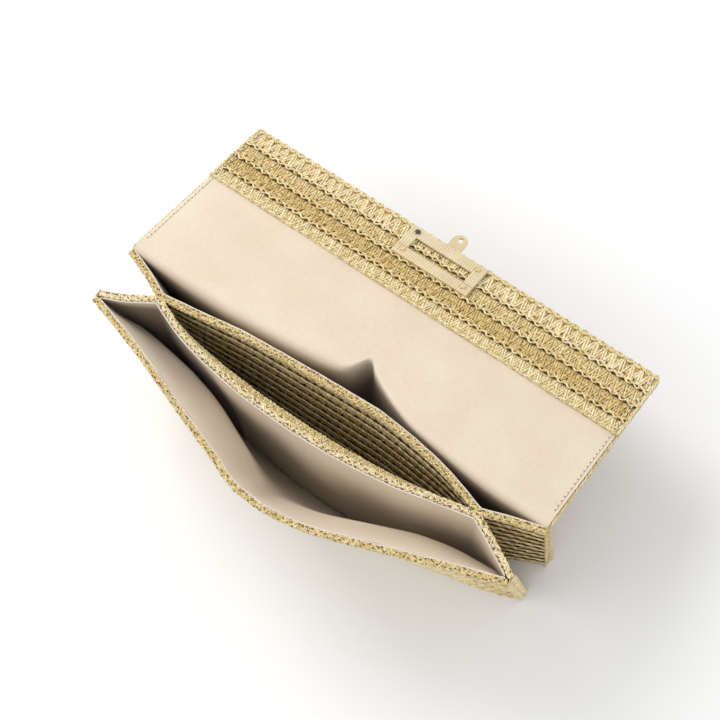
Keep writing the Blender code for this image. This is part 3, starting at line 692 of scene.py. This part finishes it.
def walls():
    for name, wall, facing in (
        ("rear_divider_straw", REAR, 1),
        ("front_divider_straw", DIVIDER, -1),
        ("front_panel_straw", FRONT, 1),
    ):
        ob = straw_wall(name + "_plait", wall, facing)
        stand_for(ob, name)
        press(ob)


SEAM_WIDTH = 5.4
# a pouch's sides: (front y, back y) at foot and mouth, x at both, and their top; then its walls' feet
POUCHES = {
    "rear": ((-4.6, 0.6), (-2.9, 1.0), 134.0, 134.6, 110.2, (BACK_FOOT, REAR_FOOT)),
    "front": ((-28.1, -22.2), (-35.6, -29.0), 133.5, 134.0, 111.9, (DIVIDER_FOOT, FRONT_FOOT)),
}


def between(low, high, x_low, x_high, sign):
    """A sewn side: u runs up it, v from its front to its back, h out of it."""

    def place(u, v, h):
        share = np.clip(u / HEIGHT, 0, 1)
        front = low[0] * (1 - share) + high[0] * share
        back = low[1] * (1 - share) + high[1] * share
        out = x_low * (1 - share) + x_high * share + h
        return np.column_stack([sign * out, front + (back - front) * v / SEAM_WIDTH, u])

    return place


def side_seam(pouch, side, place, top):
    """A sewn side: two narrow plaits, one over the other, and loose fibres."""
    strands = Strands()
    for k, level in ((0, 0.1), (1, -0.5)):
        low_v, high_v = -0.7 + 0.5 * k, SEAM_WIDTH + 0.7 - 0.5 * k
        plait_row(strands, place, top, high_v, low_v, level, 1, row=k, **SIDE_PLAIT)
    stray(strands, place, (3, top - 3), SEAM_WIDTH / 2, 0.6, 30)
    ob = strands.mesh(f"{pouch}_side_plait_{side}", STRAW)
    stand_for(ob, f"{pouch}_pouch_side_seam_{side}")
    press(ob)


def bottom_seam(pouch, behind, before):
    """The folded bottom: two rows of plait along the table."""
    back, front = smooth_through(mirrored(behind)), smooth_through(mirrored(before))
    row_depth = 10.0

    def under(u, v, h):
        x = u - HALF
        y0, y1 = np.interp(x, back[:, 0], back[:, 1]), np.interp(x, front[:, 0], front[:, 1])
        return np.column_stack([x, y0 + (y1 - y0) * v / (2 * row_depth), 1.1 + h])

    strands = Strands()
    for r in range(2):
        edges = (r * row_depth, r * row_depth + row_depth)
        plait_row(strands, under, WIDTH - 4, *edges, 0.0, -1, row=r, step=0.6, tilt=0.2, size=0.85)
    ob = strands.mesh(f"{pouch}_bottom_plait", STRAW)
    stand_for(ob, f"{pouch}_pouch_bottom_seam")
    press(ob)


def tacks():
    """Turns of thread that join the two dividers near each side."""
    t = np.linspace(0, 2 * np.pi, 17)
    for side, x, y in (("left", -104.5, -14.1), ("right", 102.0, -13.4)):
        wraps = Threads()
        for k in range(9):
            z = WALL_TOP - 1.25 * k
            across, through = x + 0.55 * np.cos(t), y - 0.02 * k + 2.1 * np.sin(t)
            wraps.add(np.column_stack([across, through, z + 0.18 * np.sin(t + k)]), 0.26)
        ob = wraps.mesh(f"divider_tack_thread_{side}", STRAW_THREAD)
        stand_for(ob, f"divider_tack_{side}")
        press(ob)


def seams():
    """The sewn sides and folded bottoms of both pouches."""
    for pouch, (low, high, x_low, x_high, top, feet) in POUCHES.items():
        for side, sign in (("left", -1), ("right", 1)):
            flare = 0.8 if pouch == "front" and sign < 0 else 0
            side_seam(pouch, side, between(low, high, x_low, x_high + flare, sign), top)
        bottom_seam(pouch, *feet)


# ---------------------------------------------------------------- straw of the back and the flap


def side_cords(strands, place, vs, lift=0.0):
    """Straw cords along the two sides of the back or the flap, which cover the ends of the rows."""
    for u in (0.55, WIDTH - 0.55):
        cord(strands, place, vs, u, 0.25 + lift, 0.85, pitch=LOOP, count=2, swap=True)
        cord(strands, place, vs, u, -1.1 + lift, 0.95, pitch=CORD_TWIST, swap=True)


def back_sheet():
    """Back wall, fold and the flap's first rows, which bend where the flap begins."""
    strands = Strands()
    for r in range(WALL_ROWS):
        high = -0.2 - r * BACK_ROW
        plait_row(strands, BACK, WIDTH, high, high - BACK_ROW + 0.2, PLAIT_H, -1, row=r, step=0.62)
    for r in range(3):
        low = r * SPINE_ROW
        plait_row(strands, BACK, WIDTH, low + SPINE_ROW, low, PLAIT_H, -1, row=r, step=0.62)
    us = np.unique(np.concatenate([np.linspace(3.0, WIDTH - 3.0, 90), HALF + np.linspace(*BOWED, 60)]))
    vs = np.concatenate([np.linspace(-111, -26, 9), np.linspace(-22, SPLIT_S, 34)])
    strands.ground(BACK, us, vs, GROUND_H)
    side_cords(strands, BACK, (-HEIGHT + 1, SPLIT_S))
    ob = strands.mesh("back_panel_plait", STRAW)
    params = np.vstack(strands.params)
    stand_for(ob, "back_panel_straw", "flap_fold_roll")
    bend_at_fold(ob, params[:, 0], params[:, 1])


def bend_at_fold(ob, u, v):
    """Bakes a piece's place into its mesh. The axis at the bowed fold and how far each point goes with the
    flap are worked out but not used.
    """
    axis_y, axis_z = HINGE_S * ALONG[0] + SHIFT_Y, HEIGHT + HINGE_S * ALONG[1]
    start, end = ((0, (axis_y + way) * MM, axis_z * MM) for way in (-4, 4))
    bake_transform(ob)
    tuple(start)
    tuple(end)
    BACK.follow(u, v).astype(np.float32)


def on_flap(u, s, h):
    """Points on the opened flap's plane."""
    mid = np.outer(s, ALONG) + np.array([0, HEIGHT])
    up = np.array([-ALONG[1], ALONG[0]])
    return np.column_stack([u - HALF, mid + up * np.asarray(h)[:, None]])


def bend_at_crease(ob):
    """Bakes a piece's place into its mesh. The axis within 2.5 mm of the flap's second hinge line is worked
    out but not used.
    """
    points = on_flap(np.array([HALF, HALF]), np.array([CREASE_S - 2.5, CREASE_S + 2.5]), np.array([0.0, 0.0]))
    start, end = ((p + np.array([0, SHIFT_Y, 0])) * MM for p in points)
    tuple(start)
    tuple(end)
    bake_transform(ob)


def outer_straw(name, rows, first, last):
    """The outer straw of a part of the flap, given as (hidden edge, looped edge) for each row."""
    strands = Strands()
    for r, (hidden, over) in enumerate(rows):
        plait_row(strands, on_flap, WIDTH, hidden, over, PLAIT_H, -1, row=r)
    strands.ground(on_flap, np.linspace(3.0, WIDTH - 3.0, 60), np.linspace(first, last, 8), GROUND_H)
    side_cords(strands, on_flap, (first, last))
    return strands.mesh(name, STRAW)


def flap_outside():
    """The row at the second fold, and the cover's rows."""
    ob = outer_straw("flap_crease_plait", [(COVER_S, SPLIT_S)], SPLIT_S, COVER_S)
    stand_for(ob, "flap_crease_roll", "flap_spine_straw")
    bend_at_crease(ob)
    lows = [COVER_S + r * COVER_ROW for r in range(6)]
    ob = outer_straw("flap_cover_plait", [(low + COVER_ROW, low) for low in lows], COVER_S, EDGE_S)
    stand_for(ob, "flap_cover_straw")
    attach(ob, "flap_cover")


def flap_band():
    """The straw turned over the flap's edge to its inner side, with cords, looped edges and loose fibres."""
    strands = Strands()
    edges = [109.0, 97.4, 86.0, 74.6, BAND_S - 0.8]
    for r, (hidden, over) in enumerate(zip(edges, edges[1:], strict=False)):
        plait_row(strands, on_flap, WIDTH, hidden, over, BAND_H, 1, row=r, step=0.42, chain=r < 3)
    ends, loops = (0.4, WIDTH - 0.4), (0.6, WIDTH - 0.6)
    strands.ground(on_flap, np.linspace(*ends, 60), np.linspace(BAND_S + 0.6, EDGE_S, 8), 1.0)
    cord(strands, on_flap, ends, EDGE_S + 0.1, 0.9, 1.5)
    cord(strands, on_flap, ends, EDGE_S + 0.3, -0.9, 1.3)
    edge_chain(strands, on_flap, loops, EDGE_S - 0.4, -1, 2.0, 1, 0.0)
    edge_chain(strands, on_flap, loops, BAND_S + 0.2, -1, 2.2, 1, 1.3, size=0.6)
    cord(strands, on_flap, ends, BAND_S + 0.4, 1.7, 0.9, pitch=LOOP)
    side_cords(strands, on_flap, (BAND_S, EDGE_S), BAND_H)
    stray(strands, on_flap, (6, WIDTH - 6), BAND_S + 0.4, BAND_H, 40)
    stray(strands, on_flap, (4, WIDTH - 4), EDGE_S + 0.6, 1.2, 34)
    for u in ends:
        stray(strands, on_flap, (BAND_S, EDGE_S - 3), u, 1.6, 9, swap=True)
    ob = strands.mesh("flap_band_plait", STRAW)
    stand_for(ob, "flap_facing_band")
    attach(ob, "flap_cover")


def sew_side(sewn, span, u, h):
    """Stitches down one side of the flap."""
    sewn.stitches(on_flap, span, u, h, pitch=3.1, radius=0.27, holes=0.4, along="v")


def flap_stitches():
    """The sewing along the band's inner edge and down the flap's sides."""
    sewn = Threads()
    sewn.stitches(on_flap, (6, WIDTH - 6), BAND_S + 1.6, 3.0, pitch=4.2, radius=0.2, holes=0.3, gap=1.4)
    ob = sewn.mesh("band_stitches", STRAW_THREAD)
    stand_for(ob, "band_stitch")
    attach(ob, "flap_cover")
    sides = (SIDE_STITCH_IN, WIDTH - SIDE_STITCH_IN)
    for side, u in zip(("left", "right"), sides, strict=True):
        sewn = Threads()
        sew_side(sewn, (40.8, BAND_S + 1), u, STITCH_H)
        sew_side(sewn, (BAND_S + 2, EDGE_S - 1), u, 2 * STITCH_H)
        ob = sewn.mesh(f"flap_side_stitches_{side}", THREAD)
        stand_for(ob, f"flap_side_stitch_{side}")
        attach(ob, "flap_cover")
    for name, span in (("flap_spine_stitches", (9.8, 35.0)), ("flap_crease_stitches", (34.6, 41.2))):
        sewn = Threads()
        for u in sides:
            sew_side(sewn, span, u, STITCH_H)
        ob = sewn.mesh(name, THREAD)
        if "crease" in name:
            bend_at_crease(ob)
        else:
            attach(ob, "flap_spine")


# ---------------------------------------------------------------- clasp

FRAME_S, WINDOW_S = (CREASE_S + 49.0, CREASE_S + 71.0), (CREASE_S + 55.4, CREASE_S + 64.3)
FRAME_HALF, WINDOW_HALF = 25.0, 18.5
FRAME_TOP, FRAME_THICK = 5.2, 1.8
LONG_BEVEL, END_BEVEL = 0.35, 0.3
RIB, RIB_DEPTH = 1.55, 0.42


def ribbed(x):
    """The ribs across the clasp's frame."""
    return -RIB_DEPTH * np.clip(1.25 * np.abs(np.cos(np.pi * x / RIB)) - 0.25, 0, 1) ** 2


def frame_bar(x0, x1, s0, s1, bevelled):
    """The points of a flat ribbed bar, row by row. Its ends are bevelled, and its long edges where asked."""
    xs = np.unique(np.concatenate([np.arange(x0, x1, 0.155), [x0, x0 + END_BEVEL, x1 - END_BEVEL, x1]]))
    xs = np.concatenate([[xs[0]], xs, [xs[-1]]])
    edge = LONG_BEVEL if bevelled else 0.0
    top = [(s0, edge), (s0 + LONG_BEVEL, 0.0), ((s0 + s1) / 2, 0.0), (s1 - LONG_BEVEL, 0.0), (s1, edge)]
    fall = np.where(np.minimum(xs - x0, x1 - xs) < END_BEVEL, END_BEVEL, 0.0)
    rows = []
    for s, drop in [(s0, FRAME_THICK), *top, (s1, FRAME_THICK)]:
        h = FRAME_TOP - np.maximum(drop, fall) + (ribbed(xs) if drop < FRAME_THICK else 0)
        h[[0, -1]] = FRAME_TOP - FRAME_THICK
        rows.append(on_flap(xs + CLASP_X + HALF, np.full(len(xs), s), h))
    return rows


def clasp_frame():
    """The flat ribbed frame: four bars around its window."""
    bars = (
        (-FRAME_HALF, FRAME_HALF, FRAME_S[0], WINDOW_S[0], True),
        (-FRAME_HALF, FRAME_HALF, WINDOW_S[1], FRAME_S[1], True),
        (-FRAME_HALF, -WINDOW_HALF, *WINDOW_S, False),
        (WINDOW_HALF, FRAME_HALF, *WINDOW_S, False),
    )
    verts, faces, count = [], [], 0
    for bar in bars:
        rows = frame_bar(*bar)
        verts += rows
        faces.append(tube_faces(len(rows), len(rows[0]), count, closed=False))
        count += len(rows) * len(rows[0])
    ob = build("clasp_ribbed_frame", np.vstack(verts), np.vstack(faces), PALE_GOLD, smooth=False)
    stand_for(ob, "clasp_frame")
    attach(ob, "flap_cover")


# ---------------------------------------------------------------- linings


def gap_between(one, other):
    """A function that gives how far apart two feet are at x."""
    a, b = smooth_through(mirrored(one)), smooth_through(mirrored(other))
    return lambda x: np.abs(np.interp(x, a[:, 0], a[:, 1]) - np.interp(x, b[:, 0], b[:, 1]))


FRONT_GAP, REAR_GAP = gap_between(DIVIDER_FOOT, FRONT_FOOT), gap_between(BACK_FOOT, REAR_FOOT)


def lining_of(name, wall, side, sag, gap, reach, deep):
    """A wall's lining: it hangs from the mouth's hem, off the straw by its own slack, and meets the lining of
    the pouch's other wall at the bottom. reach is its share of the gap there, and deep how much further it
    stands off lower down."""
    top = HEIGHT - 1.3
    us = np.linspace(LINING_INSET, wall.length - LINING_INSET, 136)
    vs = np.concatenate([np.linspace(2.0, top - 3, 44), top - np.array([2.2, 1.4, 0.8, 0.3, 0.0])])
    parting = 46 if gap is FRONT_GAP else 22  # the height where the pouch's two linings begin to part

    def lift(u, z):
        x = (u / wall.length - 0.5) * WIDTH
        near_top = np.clip((z - top + 3) / 3, 0, 1)
        low = np.clip((96 - z) / 26, 0, 1)
        stand = 1.9 + deep * low * low * (3 - 2 * low) - 0.2 * near_top**2
        bottom = np.minimum(np.clip(1 - z / parting, 0, 1) ** 1.5 / 0.86, 1)
        to_meet = np.maximum(gap(x) * reach - stand, 0) * bottom
        return side * (stand + to_meet) + sag(u - wall.length / 2, z) * (1 - bottom)

    def depth(u, z):
        """Painted shade: rises slowly downwards, and fast below the divider's left end, where the pouch is
        narrow.
        """
        if side < 0:
            return (106 - z) / 260
        return (HEIGHT - 1.5 - z) / 7 * np.clip((85 - u) / 50, 0, 1) + (100 - z) / 900

    return grid_sheet(name, wall, us, vs, COTTON, lift, depth)[0]


def front_sag(x, z):
    """The front lining leans in below the mouth in two lobes that meet near the middle."""
    depth = tabled(LOBES, x)
    ridge = 82 + 3 * np.sin(x / 31)
    above = np.clip((HEIGHT - z) / (HEIGHT - ridge), 0, 1)
    below = np.clip((ridge - z) / ridge, 0, 1)
    under = 1 - 0.75 * np.sin(np.pi / 2 * np.clip(below * 1.6, 0, 1)) - 0.25 * below
    shape = np.where(z > ridge, above**0.9, under)
    return -depth * np.clip(shape, 0, 1)


def divider_sag(x, z):
    """Soft waves of the divider's lining."""
    t = np.clip((HEIGHT - z) / HEIGHT, 0, 1)
    return (1.2 + 0.9 * np.sin(x / 21 + 1) + 0.6 * np.sin(x / 9.3)) * np.sin(np.pi * t) * 0.9


def rear_sag(x, z):
    t = np.clip((HEIGHT - z) / HEIGHT, 0, 1)
    return -(0.8 + 0.6 * np.sin(x / 23)) * np.sin(np.pi * t)


def linings():
    """The linings of the pouches' inner walls, and of the front."""
    made = (
        ("rear_divider_cloth", "rear_divider_lining", REAR, -1, rear_sag, REAR_GAP, 0.86, 0.0),
        ("front_divider_cloth", "front_divider_lining", DIVIDER, 1, divider_sag, FRONT_GAP, 0.495, 0.0),
        ("front_panel_cloth", "front_panel_lining", FRONT, -1, front_sag, FRONT_GAP, 0.495, 2.0),
    )
    for name, cad, wall, side, sag, gap, reach, deep in made:
        ob = lining_of(name, wall, side, sag, gap, reach, deep)
        stand_for(ob, cad)
        press(ob)


def hems():
    """The linings' rolled hems along the mouths, and the stitches that hold them to the straw."""
    made = (("rear_divider", REAR, -1), ("front_divider", DIVIDER, 1), ("front_panel", FRONT, -1))
    for part, wall, side in made:
        roll = Threads()
        u = np.arange(1.6, wall.length - 1.6, 1.0)
        z = HEIGHT - 1.15 + wander(u, 0.1, 3.0)
        roll.add(wall(u, z, side * (1.95 + wander(u, 0.08, 2.0))), 0.31, 8)
        ob = roll.mesh(f"{part}_hem", HEM)
        press(ob)
        sewn, span = Threads(), (3, wall.length - 3)
        sewn.stitches(over_top(wall), span, side * 1.5, HEIGHT - 0.75, pitch=3.0, radius=0.17, holes=0.2)
        ob = sewn.mesh(f"{part}_stitches", THREAD)
        press(ob)


def back_linings():
    """The linings of the back sheet, the crease and the cover, which lie on their straw in slight waves."""
    bowed = HALF + np.linspace(*BOWED, 75)
    us = np.unique(np.concatenate([np.linspace(FLAP_INSET, WIDTH - FLAP_INSET, 150), bowed]))
    parts = ((-110, -24, 22), (-22, 14, 49), (15.5, SPLIT_S, 12))
    vs = np.concatenate([np.linspace(*part) for part in parts])

    def lift(u, v):
        soft = np.clip(np.minimum(v + 20, 60) / 40, 0, 1) * np.clip(np.minimum(u, WIDTH - u) / 30, 0, 1)
        waves = 0.30 * np.sin(u / 17 + v / 23) + 0.22 * np.sin(u / 9.7 - v / 31 + 2)
        waves += 0.12 * np.sin(v / 5.3 + u / 40)
        return 1.25 + soft * waves * np.clip((BAND_S + 4 - v) / 12, 0, 1)

    def depth(u, v):
        """Painted shade: rises down the back wall, over a shorter way right of the middle, where the pouch is
        narrow.
        """
        x = u - HALF
        crisp = np.clip((x - 7) / 5, 0, 1) * np.clip((75 - x) / 50, 0, 1)
        return (3 * (1 - crisp) - v) / (36 - 24 * crisp)

    ob, u, v = grid_sheet("back_panel_cloth", BACK, us, vs, COTTON, lift, depth)
    stand_for(ob, "back_panel_lining", "back_panel_board", "flap_spine_lining", "flap_spine_board")
    bend_at_fold(ob, u, v)
    vs = np.linspace(SPLIT_S, COVER_S, 12)
    ob, _, _ = grid_sheet("flap_crease_cloth", on_flap, us, vs, COTTON, lift)
    bend_at_crease(ob)
    vs = np.linspace(COVER_S, BAND_S + 2.5, 24)
    ob, _, _ = grid_sheet("flap_cover_cloth", on_flap, us, vs, COTTON, lift)
    stand_for(ob, "flap_cover_lining", "flap_cover_board")
    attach(ob, "flap_cover")


# ---------------------------------------------------------------- camera, light, floor


def floor():
    """A large white table top."""
    mat, tree, shader = new_material("floor")
    grain = noise(tree, node(tree, "ShaderNodeTexCoord").outputs["Object"], 6.0)
    white = ramp(tree, grain, [(0.3, (0.86, 0.86, 0.87)), (0.7, (0.88, 0.88, 0.88))])
    tree.links.new(white, shader.inputs["Base Color"])
    shader.inputs["Roughness"].default_value = 0.9
    mesh, r = bpy.data.meshes.new("floor"), 3.0
    mesh.from_pydata([(-r, -r, 0), (r, -r, 0), (r, r, 0), (-r, r, 0)], [], [(0, 1, 2, 3)])
    mesh.materials.append(mat)
    new_object("floor", mesh)


def area_light(name, place, target, size, power, colour=(1, 1, 1)):
    """A round lamp that looks at a target."""
    lamp = bpy.data.lights.new(name, "AREA")
    lamp.shape, lamp.size, lamp.energy, lamp.color = "DISK", size, power, colour
    ob = new_object(name, lamp)
    ob.location = place
    ob.rotation_euler = (Vector(target) - Vector(place)).to_track_quat("-Z", "Y").to_euler()


def studio():
    """The table, a key light from the left, a weak fill, white surroundings and a camera like the photo's."""
    floor()
    area_light("key", (-1.0, 0.36, 1.22), (0, 0, 0.05), 0.8, 11.0)
    area_light("fill", (-0.75, -0.8, 1.0), (0, 0, 0.05), 0.9, 2.6)
    world = bpy.data.worlds.new("studio")
    world.use_nodes = True
    sky = world.node_tree.nodes["Background"]
    sky.inputs["Color"].default_value = (1.0, 1.0, 1.0, 1.0)
    sky.inputs["Strength"].default_value = 0.88
    bpy.context.scene.world = world
    bpy.context.scene.view_settings.view_transform = "Standard"
    lens = bpy.data.cameras.new("camera")
    lens.lens, lens.sensor_width = 70.0, 36.0
    ob = new_object("camera", lens)
    right, up = Vector((0.802, 0.5811, -0.1385)), Vector((-0.532, 0.8002, 0.2768))
    back = right.cross(up).normalized()
    up = back.cross(right).normalized()
    turn = Matrix((right.normalized(), up, back)).transposed().to_4x4()
    ob.matrix_world = Matrix.Translation((0.2031, -0.1100, 0.8001)) @ turn
    bpy.context.scene.camera = ob


METALS = {
    "lock_backing_plate": STEEL,
    "lock_spring": STEEL,
    "clasp_tongue": TONGUE,
    "clasp_outer_plate": PALE_GOLD,
    # painted shade: this rivet is coloured as the shade of an empty hole
    "clasp_rivet_edge_left": HOLE_SHADE,  # it looks like an empty hole in the photo
}

studio()
walls()
seams()
tacks()
back_sheet()
flap_outside()
flap_band()
flap_stitches()
clasp_frame()
linings()
hems()
back_linings()
for cad_name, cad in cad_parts.items():
    cad.data.materials.clear()
    cad.data.materials.append(METALS.get(cad_name, GOLD))
